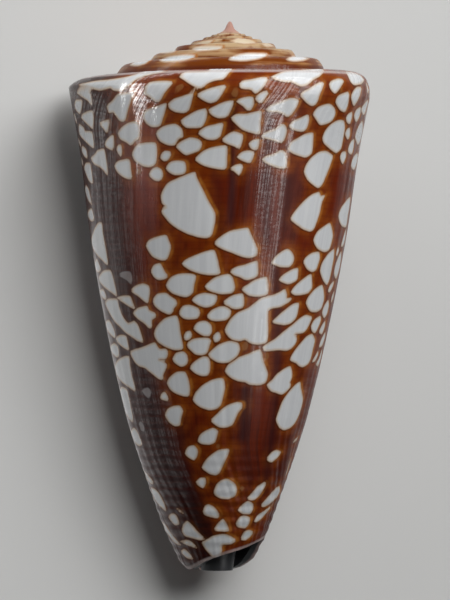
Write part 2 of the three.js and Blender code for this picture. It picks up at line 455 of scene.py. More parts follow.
shell = ShellMesh()
outside = make_outside(shell)
pillar, wall, hollow_end = make_hollow(shell, outside)
make_lip_edge(shell, outside[0], wall[0])
make_front(shell, outside, pillar, wall, hollow_end)
age, down, radius, depth, inside = (np.array(shell.fields[name]) for name in ShellMesh.FIELDS)
angle = LIP_ANGLE + 360 * age + lag(down)
points = place(angle, radius, depth)
tree = BVHTree.FromPolygons(points.tolist(), shell.faces)

# The camera, in the shell's own axes
facing = math.radians(LIP_ANGLE - LIP_FROM_CAMERA)
to_camera = Vector((-math.sin(facing), -math.cos(facing), 0))
photo_up = Vector((0, 0, 1))
photo_right = photo_up.cross(to_camera)
middle = photo_right * (PHOTO_WIDTH / 2 - APEX_X) / PIXELS_PER_MM
middle -= photo_up * (PHOTO_HEIGHT / 2 - APEX_Y) / PIXELS_PER_MM
camera_place = middle + to_camera * CAMERA_DISTANCE


EDGE_TRIES = 60
EDGE_NUDGE = 0.5  # pixels


def in_photo_plane(x, y):
    """The point that a pixel shows in the plane of the shell's axis."""
    across = (x - PHOTO_WIDTH / 2) / PIXELS_PER_MM
    below = (y - PHOTO_HEIGHT / 2) / PIXELS_PER_MM
    return middle + photo_right * across - photo_up * below


def on_shell(x, y):
    """Angle, radius, depth and normal where a pixel meets the shell. One just off its edge is moved in."""
    for _ in range(EDGE_TRIES):
        aim = in_photo_plane(x, y) - camera_place
        hit, normal, _, _ = tree.ray_cast(camera_place, aim.normalized())
        if hit is not None:
            break
        x += EDGE_NUDGE if x < APEX_X else -EDGE_NUDGE
    below = -hit.z
    across = -hit.x - LEAN * math.sin(lean_angle) * below / LENGTH
    back = -hit.y - LEAN * math.cos(lean_angle) * below / LENGTH
    reach = math.hypot(across, back)
    if normal.dot(to_camera) < 0:
        normal = -normal
    out = (-normal.x * across - normal.y * back) / reach
    return math.degrees(math.atan2(across, back)), reach, below, out, -normal.z


# The pale marks that the photograph shows, as outlines in its pixels
WHITE_MARKS = [
    # Along the shoulder
    [(78, 85), (95, 81), (110, 79.5), (130, 76), (150, 70), (165, 68.5), (163, 72), (145, 76), (135, 80),
     (131, 84), (127, 87), (124, 90), (118, 91), (113, 90), (110, 88), (100, 90.5), (90, 88)],
    [(179, 76), (185, 72), (197, 71.5), (208, 71), (210, 69), (218, 67.5), (232, 69), (228, 74), (224, 79),
     (215, 80.5), (208, 83), (203, 87.5), (198, 88), (190, 84), (184, 80)],
    [(270, 78), (277, 74), (285, 71), (300, 70), (320, 69), (324, 71), (320, 76), (313, 80), (307, 85),
     (300, 86), (292, 82), (285, 82)],
    [(346, 71.5), (355, 73), (361, 76), (364, 80), (361, 84), (354, 85), (350, 81), (348, 76)],
    # The upper network, from the left edge
    [(77, 93), (80, 91), (88, 90.5), (91, 95), (92, 105.5), (88, 101), (82, 97)],
    [(74.5, 105), (76, 100), (82, 100), (82, 105), (80, 114), (76, 110)],
    [(81, 117), (84, 113), (93, 111), (93, 128.5), (89, 126), (84, 121)],
    [(79, 124), (84, 128), (85, 131), (92, 132), (94, 146), (93, 148), (88, 144), (82, 138), (79, 133)],
    [(82, 146), (86, 149), (87.5, 158), (85, 157), (82, 152)],
    [(84, 168), (86, 163), (90, 163), (91, 168), (93, 183), (89, 181), (86, 174)],
    [(85, 190), (86, 185), (89, 190), (91, 200), (92, 205), (88, 200)],
    [(99.5, 124), (102, 121.5), (109, 120), (108.5, 127), (107, 133.5), (103, 128)],
    [(105, 143), (109, 137), (113, 135), (114, 140), (113, 150), (106, 147)],
    [(116.5, 149), (118, 145), (121, 145), (122, 150), (121.5, 157), (118, 153)],
    [(91, 158), (95, 154), (98, 150), (104, 149), (106, 157), (108, 175), (104, 171), (100, 167), (94, 164)],
    [(107, 106), (113, 100), (118, 94), (130, 92.5), (134, 91.5), (131, 100), (128, 110), (125, 121),
     (120, 121), (116, 116), (113, 112), (109, 113)],
    [(118, 133), (122, 127), (128, 123), (135, 121.5), (139, 125), (139, 138), (135, 141), (131, 145.5),
     (126, 142), (120, 139)],
    [(143, 92), (150, 82), (173, 81.5), (165, 92), (160, 101), (156, 102), (151, 98)],
    [(143, 116), (146, 110), (155, 107), (166, 103), (166, 108), (163, 118), (160, 126), (152, 127),
     (146, 123)],
    [(156, 133), (162, 127), (172, 124), (177, 124.5), (182, 129), (183, 137), (178, 139), (175, 145),
     (168, 145), (160, 141)],
    [(132, 154), (136, 146), (143, 143), (155, 142.5), (157, 150), (156, 163), (150, 167), (143, 166),
     (135, 161)],
    [(168, 104), (174, 99), (183, 96), (193, 93), (192, 100), (189, 110), (184, 113), (176, 112), (170, 109)],
    [(180.5, 121), (187, 116), (196, 111), (205, 108.5), (207, 112), (206, 120), (202, 127), (195, 128),
     (186, 127.5)],
    [(197, 95), (205, 90), (215, 87), (226, 85), (224, 91), (220, 97), (217, 101), (210, 103), (203, 100)],
    [(208.5, 110), (215, 106), (224, 102), (233, 100.5), (233, 105), (230, 112), (227, 117), (218, 118),
     (212, 115)],
    [(198, 133), (205, 127), (212, 125), (223, 123), (222, 130), (220, 137), (213, 140), (206, 139)],
    [(176, 146), (182, 141), (190, 137.5), (198, 139), (202, 143), (200, 150), (193, 153), (186, 155),
     (180, 151)],
    [(195, 159), (202, 152), (210, 148), (220, 146), (227, 146), (227, 158), (226, 169), (215, 168.5),
     (205, 166), (199, 163)],
    [(160, 157), (164, 151), (170, 151.5), (171, 155), (168, 160), (164, 161)],
    [(166, 168), (170, 162), (178, 160.5), (185, 162), (186, 170), (184, 174), (175, 175), (169, 172)],
    [(149, 175), (152, 169), (157, 167), (162, 170), (163, 176), (160, 181), (154, 180)],
    [(114.5, 166), (118, 161), (127, 159), (130, 161), (131, 170), (132, 179), (125, 178), (118, 173)],
    [(195, 172), (197, 178), (203, 190), (209, 202), (215, 213), (215, 222), (212, 235), (207, 238),
     (198, 237), (188, 234), (178, 229), (170, 223), (165, 217), (161.5, 212), (163, 208), (166, 207),
     (162, 203), (161, 196), (163, 190), (168, 183), (178, 178), (188, 174)],
    [(239, 85), (242, 81), (250, 79.5), (264, 77), (268, 79), (264, 86), (259, 92), (255, 93.5), (251, 89.5),
     (246, 89), (241, 88)],
    [(236, 101), (242, 98), (250, 96.5), (253.5, 98), (254, 104), (251, 110), (247, 110), (243, 106)],
    [(255, 98), (260, 93), (268, 90), (270, 91), (266, 97), (262, 103), (258, 102)],
    [(231, 118), (237, 114), (246, 114), (261, 111), (260.5, 122), (260, 134), (252, 133), (243, 130),
     (236, 124)],
    [(222, 140), (228, 134), (234, 131.5), (242, 134), (243, 138), (241, 146), (239, 149), (234, 146),
     (228, 144)],
    [(248.5, 144), (253, 140), (259, 139), (259, 145), (257, 150), (252, 149)],
    [(237, 157), (242, 152), (248, 150.5), (254, 152), (253, 158), (250, 163), (243, 161)],
    [(230, 169), (235, 165), (241, 164), (243, 167), (241, 173), (239, 175.5), (234, 171)],
    [(266, 110), (271, 105), (280, 102), (290, 98), (297, 99), (299, 101), (296, 108), (291, 115), (287, 117),
     (283, 114), (278, 112), (271, 112)],
    [(261, 137), (266, 132), (275, 129), (281, 124), (285, 125), (287, 130), (285, 138), (282, 143),
     (275, 141), (268, 139)],
    [(262, 160), (266, 156), (274, 154), (281, 150), (286, 153), (287, 160), (286, 168), (279, 168),
     (270, 165)],
    [(300, 95), (304, 91), (310, 88), (318, 83), (324, 82), (323, 87), (320, 94), (317, 103), (312, 106),
     (307, 103), (303, 99)],
    [(313, 114), (317, 108), (323, 105), (330, 104), (335, 109), (335, 115), (332, 121), (326, 124),
     (320, 125), (316, 119)],
    [(289, 126), (293, 121), (300, 118), (308, 114.5), (309, 120), (307, 128), (303, 131.5), (297, 131),
     (292, 129)],
    [(288, 149), (291, 142), (298, 138), (305, 134), (313, 133), (313, 143), (312, 153), (306, 157.5),
     (300, 156), (292, 153)],
    [(304, 172), (306, 165), (311, 158), (318, 152.5), (326, 151), (331, 154), (333, 157), (330, 166),
     (326, 176), (322, 185), (318, 188), (312, 184), (307, 179)],
    [(322.5, 138), (325, 131), (331, 124), (339, 120), (344, 121), (345, 128), (343, 140), (341, 149),
     (336, 153), (329, 148), (324, 143)],
    [(329, 85), (331, 81), (338, 78.5), (344, 80), (342, 85), (338, 91), (335, 93.5), (331, 90)],
    [(335.5, 102), (338, 96), (344, 93), (349, 92), (349, 98), (348, 105), (345, 112), (340, 110)],
    [(351, 97), (353, 91), (357, 87), (361, 87), (361, 92), (358, 100), (354, 106), (352, 102)],
    [(361, 110), (364, 104), (368, 100), (367, 106), (364, 115)],
    [(354, 116), (356, 110), (360, 107), (361, 110), (359, 118), (356, 122)],
    [(346, 118), (348, 114), (352, 112), (352, 117), (350, 124), (347, 122)],
    [(345, 134), (347, 129), (350, 128), (350, 135), (348, 140)],
    [(355, 137), (358, 127), (362, 121), (363, 126), (361, 138), (358, 145)],
    [(348, 150), (350, 143), (354, 139), (354, 145), (352, 154), (349, 153)],
    [(340, 157), (342, 152), (346, 152), (346, 157), (343, 164), (341, 161)],
    [(351, 166), (353, 158), (357, 153), (358, 157), (356, 165), (354, 170)],
    # The middle network
    [(91.5, 240), (94, 230), (98, 223), (102, 223), (103, 233), (106, 250), (108, 265), (102, 260), (97, 255),
     (93, 248)],
    [(88, 212), (91, 208), (93, 213), (94, 220), (91, 221), (88, 217)],
    [(94.5, 263), (97, 259), (99, 264), (101, 270), (98, 272), (95, 268)],
    [(99, 277), (103, 271), (110, 270), (113, 277), (117, 296), (112, 293), (104, 287), (100, 282)],
    [(100, 291), (103, 289), (106, 295), (106, 300), (102, 297)],
    [(105, 303), (108, 299), (117, 299), (119, 306), (122, 315), (128, 323), (134, 321), (138, 325),
     (141, 333), (143, 342), (138, 341), (132, 337), (126, 333), (120, 327), (115, 322), (110, 314)],
    [(131, 291), (135, 286), (143, 283.5), (149, 286), (150, 292), (148, 303), (144, 301), (138, 296)],
    [(117, 298), (122, 296), (130, 296), (133, 303), (135, 309), (130, 307), (124, 303)],
    [(133, 313), (138, 308), (147, 306), (149, 310), (155, 313), (156, 317), (152, 320), (152, 327),
     (149, 328), (144, 323), (138, 319)],
    [(146, 246), (149, 240), (156, 237), (166, 235), (169, 241), (171, 247), (169, 255), (166, 260),
     (160, 260), (152, 256)],
    [(151, 271), (154, 265), (160, 263), (162, 266), (165, 272), (168, 276), (165, 279), (159, 280),
     (154, 277)],
    [(182, 264), (187, 259), (196, 255), (205, 251.5), (214, 250), (217, 257), (219, 266), (220, 274),
     (210, 275), (200, 273.5), (190, 270)],
    [(166, 286), (170, 278), (178, 274), (189, 273.5), (196, 276), (194, 285), (193, 293), (187, 297),
     (180, 296), (172, 293)],
    [(205, 286), (210, 281), (216, 277), (228, 274), (233, 278), (235, 288), (232, 293), (222, 294),
     (214, 292.5), (208, 290)],
    [(192, 300), (197, 295), (205, 293), (216, 295), (217, 299), (214, 305), (206, 307.5), (198, 305)],
    [(153, 300), (157, 294), (166, 293), (170, 296), (176, 300), (177, 305), (174, 308), (173, 312),
     (169, 314.5), (161, 311), (155, 306)],
    [(179, 313), (183, 306), (190, 305), (198, 308), (200, 313), (198, 318), (190, 319.5), (183, 318)],
    [(207, 316), (212, 310), (220, 306.5), (228, 307), (231, 311), (230, 316), (226, 320), (218, 321),
     (211, 320)],
    [(214.5, 243), (220, 237), (230, 231), (240, 229), (248, 228), (251, 234), (255, 243), (257.5, 250),
     (256, 256), (248, 258), (240, 256), (230, 252), (220, 248)],
    [(230, 271), (236, 267), (244, 265), (252, 262), (257, 261), (258, 266), (258, 275), (254, 278),
     (246, 280), (240, 277), (234, 275)],
    [(241.5, 289), (247, 285), (255, 280), (266, 277), (268, 284), (268, 293), (265, 296), (255, 296.5),
     (248, 295)],
    [(223.5, 302), (228, 298), (234, 295), (242, 293.5), (244, 297), (244, 305), (242, 308), (235, 309),
     (228, 307)],
    [(225, 330), (230, 320), (237, 313), (248, 308), (256, 302), (263, 297), (273, 295), (280, 292),
     (285, 289), (287, 295), (287, 298), (292, 298), (289, 302), (284, 305), (280, 307), (270, 309),
     (268, 313), (268, 336), (266, 343), (258, 344.5), (250, 343), (245, 339.5), (240, 341), (233, 340),
     (228, 336)],
    [(271.5, 263), (275, 257), (281, 252), (287, 249), (291, 251), (294, 257), (293, 263), (289, 267),
     (281, 267), (275, 265)],
    [(279, 280), (283, 275), (291, 270), (298, 268), (298, 274), (297, 280), (292, 283), (287, 284)],
    [(291, 292), (295, 286), (303, 279), (311, 274), (312, 281), (312, 288), (308, 293), (301, 295),
     (295, 295)],
    [(303.5, 262), (306, 257), (312, 253), (319, 252), (320, 258), (318, 265), (316, 270), (312, 272),
     (307, 269)],
    [(313.5, 240), (317, 232), (323, 227), (329, 223), (331, 225), (333, 235), (331, 245), (329, 250),
     (324, 252), (317, 248)],
    [(290.5, 219), (295, 211), (303, 202), (311, 195), (319, 192), (321, 196), (325, 195), (322, 202),
     (320, 212), (317, 221), (314, 229), (310, 231.5), (303, 229), (296, 224)],
    [(338.5, 216), (341, 208), (346, 201), (350, 197), (350, 203), (348, 215), (346, 227), (341, 225)],
    [(320, 271), (322, 263), (328, 254), (334, 249), (334, 257), (332, 268), (330, 278), (327, 285),
     (323, 280)],
    [(306, 303), (309, 296), (315, 289), (322, 285), (324, 292), (324, 300), (321, 309), (316, 312),
     (310, 311)],
    [(334, 273), (336, 263), (341, 251), (341, 258), (339, 270), (336, 279)],
    [(341, 246), (343, 238), (346, 229), (345, 238), (343, 246)],
    [(336, 254), (338, 247), (339, 250), (337, 256)],
    [(328, 291), (330, 285), (334, 281), (333, 286), (330, 292)],
    [(322, 313), (324, 306), (328, 300), (329, 305), (327, 314), (324, 318)],
    # The lower network
    [(262.5, 347), (268, 343), (275, 339), (283, 332), (292, 325), (300, 318), (306, 315), (312, 317),
     (310, 323), (307, 329), (303, 333), (295, 334), (297, 338), (296, 343), (292, 348), (287, 350.5),
     (277, 350), (270, 351), (265, 351)],
    [(272, 322), (279, 315), (286, 309), (293, 304), (299, 303), (298, 311), (296, 318), (291, 323),
     (285, 325), (278, 324)],
    [(311, 326), (314, 320), (320, 316), (321, 320), (318, 328), (315, 333), (312, 331)],
    [(319, 332), (322, 325), (325, 321), (325, 326), (322, 334)],
    [(290, 360), (293, 353), (299, 345), (306, 337), (312, 334), (315, 340), (313, 349), (311, 358),
     (308, 364), (303, 367), (299, 366), (296, 363)],
    [(312, 362), (315, 356), (318, 351), (318, 355), (315, 361)],
    [(316, 364), (319, 358), (322, 349), (321, 357), (318, 366)],
    [(319, 347), (321, 340), (325, 332), (325, 337), (322, 346)],
    [(267, 385), (272, 380), (277, 374), (284, 369), (290, 366), (292, 371), (292, 378), (290, 382),
     (291, 386), (287, 391), (282, 394.5), (277, 393), (271, 391)],
    [(276, 420), (278, 413), (282, 402), (288, 393), (295, 385), (300, 382), (301, 388), (303, 398),
     (302, 405), (299, 415), (295, 423), (290, 428), (284, 430), (279, 427)],
    [(225, 371), (229, 364), (237, 358), (248, 354), (259, 349.5), (262, 353), (263, 360), (266, 368),
     (268, 374), (266, 382), (260, 385), (250, 384.5), (245, 382), (238, 381), (230, 377)],
    [(208, 355), (213, 349), (220, 344), (230, 341), (238, 343), (240, 349), (238, 355), (235, 359),
     (230, 362), (224, 363), (217, 362), (212, 359)],
    [(187, 346), (190, 340), (199, 338), (208, 338), (211, 341), (209, 347), (207, 353), (202, 355),
     (195, 354)],
    [(190, 368), (194, 362), (202, 357), (208, 357), (210, 362), (210, 370), (208, 375), (202, 376),
     (195, 373)],
    [(193.5, 328), (198, 322), (206, 321), (211, 325), (212, 331), (210, 335.5), (204, 336), (197, 332)],
    [(184, 336), (186, 332), (190, 331), (192, 335), (190, 340), (185, 340)],
    [(213, 337), (216, 333), (219, 332), (221, 337), (219, 341), (215, 342)],
    [(154, 334), (157, 326), (164, 319), (172, 316), (177, 316), (179, 322), (180, 330), (182, 340),
     (183, 349), (175, 350), (166, 347), (158, 342)],
    [(172.5, 359), (176, 353), (183, 351.5), (187, 355), (188, 361), (186, 365), (181, 366.5), (175, 363)],
    [(130, 352), (136, 349), (143, 347), (150, 344), (155, 342.5), (158, 347), (160, 349), (166, 349),
     (168, 353), (166, 359), (159, 359.5), (163, 361), (167, 365), (165, 371), (163, 375), (163, 380),
     (159, 379), (155, 376), (150, 372), (145, 368), (139, 366), (134, 361)],
    [(167, 383), (170, 377), (177, 372), (185, 372), (188, 378), (190, 388), (189, 396), (183, 396),
     (175, 393), (170, 389)],
    [(160, 398), (162, 393), (165, 392), (168, 397), (168, 401), (163, 400)],
    [(165, 415), (168, 409), (174, 406), (180, 406), (183, 411), (181, 418), (180, 425), (175, 426),
     (169, 422)],
    [(193, 399), (196, 392), (203, 385), (212, 380), (221, 378), (224, 380), (225, 388), (223, 397),
     (221, 405), (216, 409), (209, 410), (200, 407), (195, 403)],
    [(211, 420), (216, 415), (221, 410), (228, 405), (237, 402), (242, 403), (242, 408), (238, 413),
     (235, 420), (232, 425), (226, 427.5), (219, 427), (213, 423)],
    [(198, 441), (200, 435), (206, 430.5), (213, 428), (218, 431), (217, 436), (215, 442), (210, 444.5),
     (202, 444)],
    [(115, 366), (118, 360), (124, 356.5), (129, 356.5), (130, 365), (132, 376), (135, 387), (135, 391),
     (130, 388), (123, 383), (118, 377)],
    [(119, 392), (122, 387), (127, 390), (129, 398), (131, 408), (133, 418), (132, 422), (127, 415),
     (123, 406), (120, 398)],
    [(106, 322), (109, 320), (112, 325), (115, 333), (115, 338), (111, 335), (107, 329)],
    [(116, 338), (120, 335), (126, 336), (128, 343), (129, 350), (124, 348), (118, 343)],
    [(110, 347), (114, 343), (118, 347), (119, 356), (116, 357), (111, 351)],
    [(131, 432), (134, 428), (138, 433), (142, 444), (139, 446), (135, 442)],
    # The front end
    [(185, 453), (188, 447), (194, 445.5), (198, 450), (197, 456), (194, 460), (188, 457)],
    [(202, 467), (206, 460), (211, 455), (219, 450), (229, 449), (228, 455), (224, 463), (220, 472),
     (216, 475), (210, 474), (204, 470)],
    [(196, 482), (200, 478), (205, 478), (206, 483), (203, 488), (198, 485)],
    [(214, 491), (217, 484), (222, 480), (228, 479), (235, 484), (237, 490), (235, 496), (228, 499),
     (220, 498), (215, 495)],
    [(203, 512), (205, 506), (209, 504.5), (215, 508), (219, 514), (218, 518), (211, 517), (205, 515)],
    [(223, 519), (229, 531), (214, 530)],
    [(182, 531), (183, 525), (187, 521), (191, 524), (197, 531), (205, 539), (200, 540), (192, 538),
     (185, 536)],
    [(168.5, 517), (171, 514), (175, 514), (178, 519), (179, 524), (175, 525), (171, 521)],
    [(180, 542), (186, 540), (192, 542), (197, 548), (190, 546)],
    [(181, 552), (184, 549), (189, 553), (193, 559), (187, 558)],
    [(202, 542), (208, 539), (213, 536), (222, 534), (228, 535), (236, 540), (231, 544), (222, 545),
     (222, 550), (220, 556), (213, 557), (208, 552), (204, 547)],
    [(238, 510), (242, 505), (248, 501), (253, 504), (253, 509), (250, 514), (243, 514)],
    [(236, 523), (240, 517), (245, 515.5), (250, 518), (249, 524), (245, 528), (238, 527)],
    [(241, 538), (244, 532), (249, 530), (253, 532), (251, 536), (246, 540), (242, 540)],
    [(247.5, 498), (252, 493), (257, 487), (264, 482), (266, 484), (263, 490), (259, 496), (254, 500),
     (249, 500)],
    [(261, 505), (267, 498), (273, 491), (279, 486), (280, 491), (277, 497), (271, 503), (264, 507)],
    [(254, 521), (258, 515), (264, 511), (272, 505), (268, 511), (262, 518), (257, 522)],
    [(267, 458), (271, 453), (276, 450), (281, 452), (278, 457), (272, 462), (268, 461)],
    [(141, 467), (146, 473), (153, 481), (152, 484), (146, 478), (141, 471)],
    [(151, 488), (155, 489), (160, 495), (164, 503), (166, 511), (160, 506), (154, 498)],
    [(162, 522), (167, 527), (173, 536), (181, 545), (175, 543), (168, 534), (163, 527)],
    [(285, 478), (288, 467), (291, 457), (290, 462), (287, 472)],
]
TAN_SPOTS = [
    [(173, 92), (176, 87), (182, 84), (184, 86), (180, 91), (176, 93)],
    [(136, 171), (138.5, 168), (141, 171), (138.5, 175)],
    [(231, 92), (234, 88), (238, 88), (238, 93), (236, 97), (233, 96)],
    [(119, 275), (123, 272), (130, 272), (132, 278), (131, 284), (127, 280)],
    [(242, 347), (244, 343), (247, 342), (248, 346), (246, 350), (243, 350)],
    [(265, 356), (267, 352), (269, 356), (267, 360)],
    [(139, 423), (141, 422), (144, 427), (144, 431), (141, 430)],
    [(142, 390), (148, 388), (151, 392), (149, 398), (145, 395)],
    [(216, 446), (218, 444), (220, 446), (218, 449)],
    [(240, 488), (242, 486), (244, 488), (242, 491)],
]
# Slivers, from end to end
THIN_MARKS = [
    ((74, 113), (77, 124)), ((78, 138), (81, 147)), ((81, 157), (83, 166)), ((366, 82), (370, 100)),
    ((331, 303), (334, 291)), ((113, 370), (118, 385)), ((293, 443), (298, 437)), ((176, 508), (184, 514)),
]
THIN_WIDTH = 1.6
# Blotches on the spire
SPIRE_MARKS = [
    [(160, 51), (165, 49.5), (175, 49), (175, 52), (166, 53.5), (160, 53)],
    [(192, 49), (197, 46.5), (210, 45.5), (222, 46), (220, 49), (208, 50.5), (197, 51)],
    [(160, 60), (170, 56), (184, 54.5), (195, 55), (190, 59), (176, 61.5), (164, 62)],
    [(229, 60), (236, 55), (248, 53), (267, 53.5), (262, 58), (246, 61)],
    [(286, 60), (292, 56), (302, 54.5), (310, 57), (304, 60.5), (294, 61.5)],
    [(130, 65), (137, 60.5), (150, 59.5), (146, 63.5), (138, 66)],
    [(278, 48.5), (283, 46.5), (292, 47), (288, 49.5)],
    [(231, 41), (238, 38.5), (250, 39.5), (256, 43), (244, 44)],
    [(194, 44), (203, 41), (213, 40), (208, 43.5)],
    [(262, 44), (267, 43), (274, 46), (267, 47)],
]


ROUNDNESS = 0.36  # of the curve through an outline's points
CURVE_STEPS = 3


def rounded(outline):
    """A smooth closed curve through the points of an outline."""
    here = np.array(outline, float)
    before, after, later = np.roll(here, 1, 0), np.roll(here, -1, 0), np.roll(here, -2, 0)
    leaving, arriving = ROUNDNESS * (after - before), ROUNDNESS * (later - here)
    curve = []
    for share in np.arange(CURVE_STEPS) / CURVE_STEPS:
        bend = leaving * share * (1 - share) ** 2 - arriving * share**2 * (1 - share)
        curve.append(mix(here, after, smooth(0, 1, share)) + bend)
    return np.stack(curve, 1).reshape(-1, 2)


def sliver(start, end):
    """A thin lens between two points."""
    start, end = np.array(start, float), np.array(end, float)
    along = end - start
    side = np.array([-along[1], along[0]]) / np.hypot(*along) * THIN_WIDTH / 2
    return [start, start + along / 2 + side, end, start + along / 2 - side]


# A mark lies in a flat chart of the surface round its middle: x runs to the right in the photograph and
# y towards the front, in millimetres.
def make_mark(outline):
    hits = np.array([on_shell(x, y) for x, y in rounded(outline)])
    turns = (hits[:, 0] - hits[0, 0] + 180) % 360 - 180 + hits[0, 0]
    out, front = hits[:, 3].mean(), hits[:, 4].mean()
    length = math.hypot(out, front)
    mark = {"angle": turns.mean(), "radius": hits[:, 1].mean(), "depth": hits[:, 2].mean()}
    mark["out"], mark["front"] = out / length, front / length
    x, y, _ = in_chart(mark, turns, hits[:, 1], hits[:, 2])
    mark["outline"] = np.stack([x, y], 1)
    return mark


def in_chart(mark, angle, radius, depth):
    """Chart coordinates, and the height over the chart."""
    turn = (angle - mark["angle"] + 180) % 360 - 180
    x = -mark["radius"] * np.radians(turn)
    over, below = radius - mark["radius"], depth - mark["depth"]
    y = below * mark["out"] - over * mark["front"]
    return x, y, over * mark["out"] + below * mark["front"]


TINY = 1e-9


def signed_distance(x, y, outline):
    """Distance from an outline, positive inside it."""
    start, end = outline, np.roll(outline, -1, 0)
    along = end - start
    px, py = x[:, None] - start[:, 0], y[:, None] - start[:, 1]
    share = np.clip((px * along[:, 0] + py * along[:, 1]) / np.maximum((along**2).sum(1), TINY), 0, 1)
    distance = np.hypot(px - share * along[:, 0], py - share * along[:, 1]).min(1)
    rising = (start[:, 1] > y[:, None]) != (end[:, 1] > y[:, None])
    slope = np.where(np.abs(along[:, 1]) < TINY, TINY, along[:, 1])
    crossings = rising & (px < py * along[:, 0] / slope)
    return np.where(crossings.sum(1) % 2 == 1, distance, -distance)


REACH = 1.2  # how far round a mark its distance is worked out
CHART_HEIGHT = 1.1
LAYERS = 4  # marks close to each other lie in different layers
LAYER_GAP = 0.6
GAP = 0.13  # least gap between two marks
# Marks on the far side: how they differ from those of the photograph, and where they may lie
FAR_SIDE_GAP = 0.3
FAR_SIDE_SIZES = (0.85, 1.05)
FAR_SIDE_TILTS = (-12, 12)
FAR_SIDE_TURNS = (-3, 3)
FAR_SIDE_AGES = (-0.985, -0.01)
SHOULDER_MARGIN = 0.3
# The dark rim lies to the lower left of a mark, and the amber flush to its right
SHIFTS = {"nearest": (0, 0), "rim": (-0.07, 0.05), "flush": (0.22, -0.06)}
on_outside = np.nonzero(inside < INSIDE)[0]
out_angle, out_radius, out_depth = angle[on_outside], radius[on_outside], depth[on_outside]


def nothing_near():
    return np.full(len(points), -REACH)


distances = {name: nothing_near() for name in SHIFTS}
second = nothing_near()
owner = np.full(len(points), -1)


def distances_round(mark, shift=(0, 0)):
    """Vertices near a mark, and their distances from it."""
    x, y, height = in_chart(mark, out_angle, out_radius, out_depth)
    outline = mark["outline"] + shift
    low, high = outline.min(0) - REACH, outline.max(0) + REACH
    near = (x > low[0]) & (x < high[0]) & (y > low[1]) & (y < high[1]) & (np.abs(height) < CHART_HEIGHT)
    return on_outside[near], signed_distance(x[near], y[near], outline)


def least_gap(distance, other):
    return -2 * np.minimum(distance, other).max() if len(distance) else 0


def add_mark(number, mark):
    for name, shift in SHIFTS.items():
        near, distance = distances_round(mark, shift)
        if name == "nearest":
            mark["near"], mark["distance"] = near, distance
            closer = distance > distances[name][near]
            second[near] = np.where(closer, distances[name][near], np.maximum(second[near], distance))
            owner[near[closer]] = number
        distances[name][near] = np.maximum(distances[name][near], distance)


def half_turn_on(mark, turn, random):
    """The same mark, half a turn on or back, a little changed and scaled with the whorl."""
    size = random.uniform(*FAR_SIDE_SIZES)
    tilt = math.radians(random.uniform(*FAR_SIDE_TILTS))
    turned = np.array([[math.cos(tilt), -math.sin(tilt)], [math.sin(tilt), math.cos(tilt)]])
    moved = dict(mark)
    moved["angle"] = mark["angle"] + turn + random.uniform(*FAR_SIDE_TURNS)
    behind = (LIP_ANGLE - mark["angle"]) % 360 / 360
    if mark["depth"] > shoulder_depth(-behind) - SHOULDER_MARGIN:
        new_age = -behind + turn / 360
        if not FAR_SIDE_AGES[0] < new_age < FAR_SIDE_AGES[1]:
            return None
        top, new_top = shoulder_depth(-behind), shoulder_depth(new_age)
        below = (mark["depth"] - top) / (LENGTH - top)
        moved["depth"] = mix(new_top, LENGTH, below)
        moved["radius"] = side_radius(new_age, moved["depth"])
        size *= shoulder_radius(new_age) / shoulder_radius(-behind)
    else:
        grown = GROWTH ** (turn / 360)
        moved["radius"] = mark["radius"] * grown
        moved["depth"] = MUCRO_HEIGHT + (mark["depth"] - MUCRO_HEIGHT) * grown
        size *= grown
    moved["outline"] = mark["outline"] @ turned * size
    return moved


def add_marks(outlines, random):
    """Marks of the photograph, and the same kinds again on the far side where there is room."""
    marks = [make_mark(outline) for outline in outlines]
    for number, mark in enumerate(marks):
        add_mark(number, mark)
    for mark in marks.copy():
        for turn in (-180, 180):
            moved = half_turn_on(mark, turn, random)
            if not moved:
                continue
            near, distance = distances_round(moved)
            if least_gap(distance, distances["nearest"][near]) > FAR_SIDE_GAP:
                add_mark(len(marks), moved)
                marks.append(moved)
    return marks


def layered(marks):
    """Distances from the marks in each layer, with a gap kept between any two marks."""
    layers = [nothing_near() for _ in range(LAYERS)]
    for number, mark in enumerate(marks):
        near, distance = mark["near"], mark["distance"]
        other = np.where(owner[near] == number, second[near], distances["nearest"][near])
        distance = np.minimum(distance, (distance - other - GAP) / 2)
        layer = max(layers, key=lambda values: min(least_gap(distance, values[near]), LAYER_GAP))
        layer[near] = np.maximum(layer[near], distance)
    return layers


random = np.random.default_rng(SEED)
white_marks = WHITE_MARKS + SPIRE_MARKS + [sliver(*ends) for ends in THIN_MARKS]
layers = layered(add_marks(white_marks, random))
tan_spots = nothing_near()
for spot in TAN_SPOTS:
    near, distance = distances_round(make_mark(spot))
    tan_spots[near] = np.maximum(tan_spots[near], distance)

# Dark streaks down the side: top and bottom in pixels, half width in millimetres and strength
STREAKS = [
    ((233, 92), (231, 228), 0.35, 0.8),
    ((269, 108), (266, 250), 0.45, 0.7),
    ((275, 250), (262, 500), 0.55, 0.7),
    ((246, 384), (243, 442), 0.5, 0.8),
    ((216, 168), (222, 240), 0.5, 0.4),
    ((288, 175), (285, 230), 0.45, 0.45),
    ((180, 410), (190, 500), 0.5, 0.35),
    ((142, 180), (150, 232), 0.4, 0.35),
]
STREAK_START = (-0.08, 0.1)  # shares of a streak's length, between which it fades in and out
STREAK_END = (0.9, 1.08)


def streak_shade():
    shade = np.zeros(len(points))
    for top, bottom, half_width, strength in STREAKS:
        start, end = on_shell(*top), on_shell(*bottom)
        share = (depth - start[2]) / (end[2] - start[2])
        line = mix(start[0], end[0], share)
        across = radius * np.radians((angle - line + 180) % 360 - 180)
        ends = smooth(*STREAK_START, share) * (1 - smooth(*STREAK_END, share))
        shade = np.maximum(shade, strength * np.exp(-((across / half_width) ** 2)) * ends)
    return shade


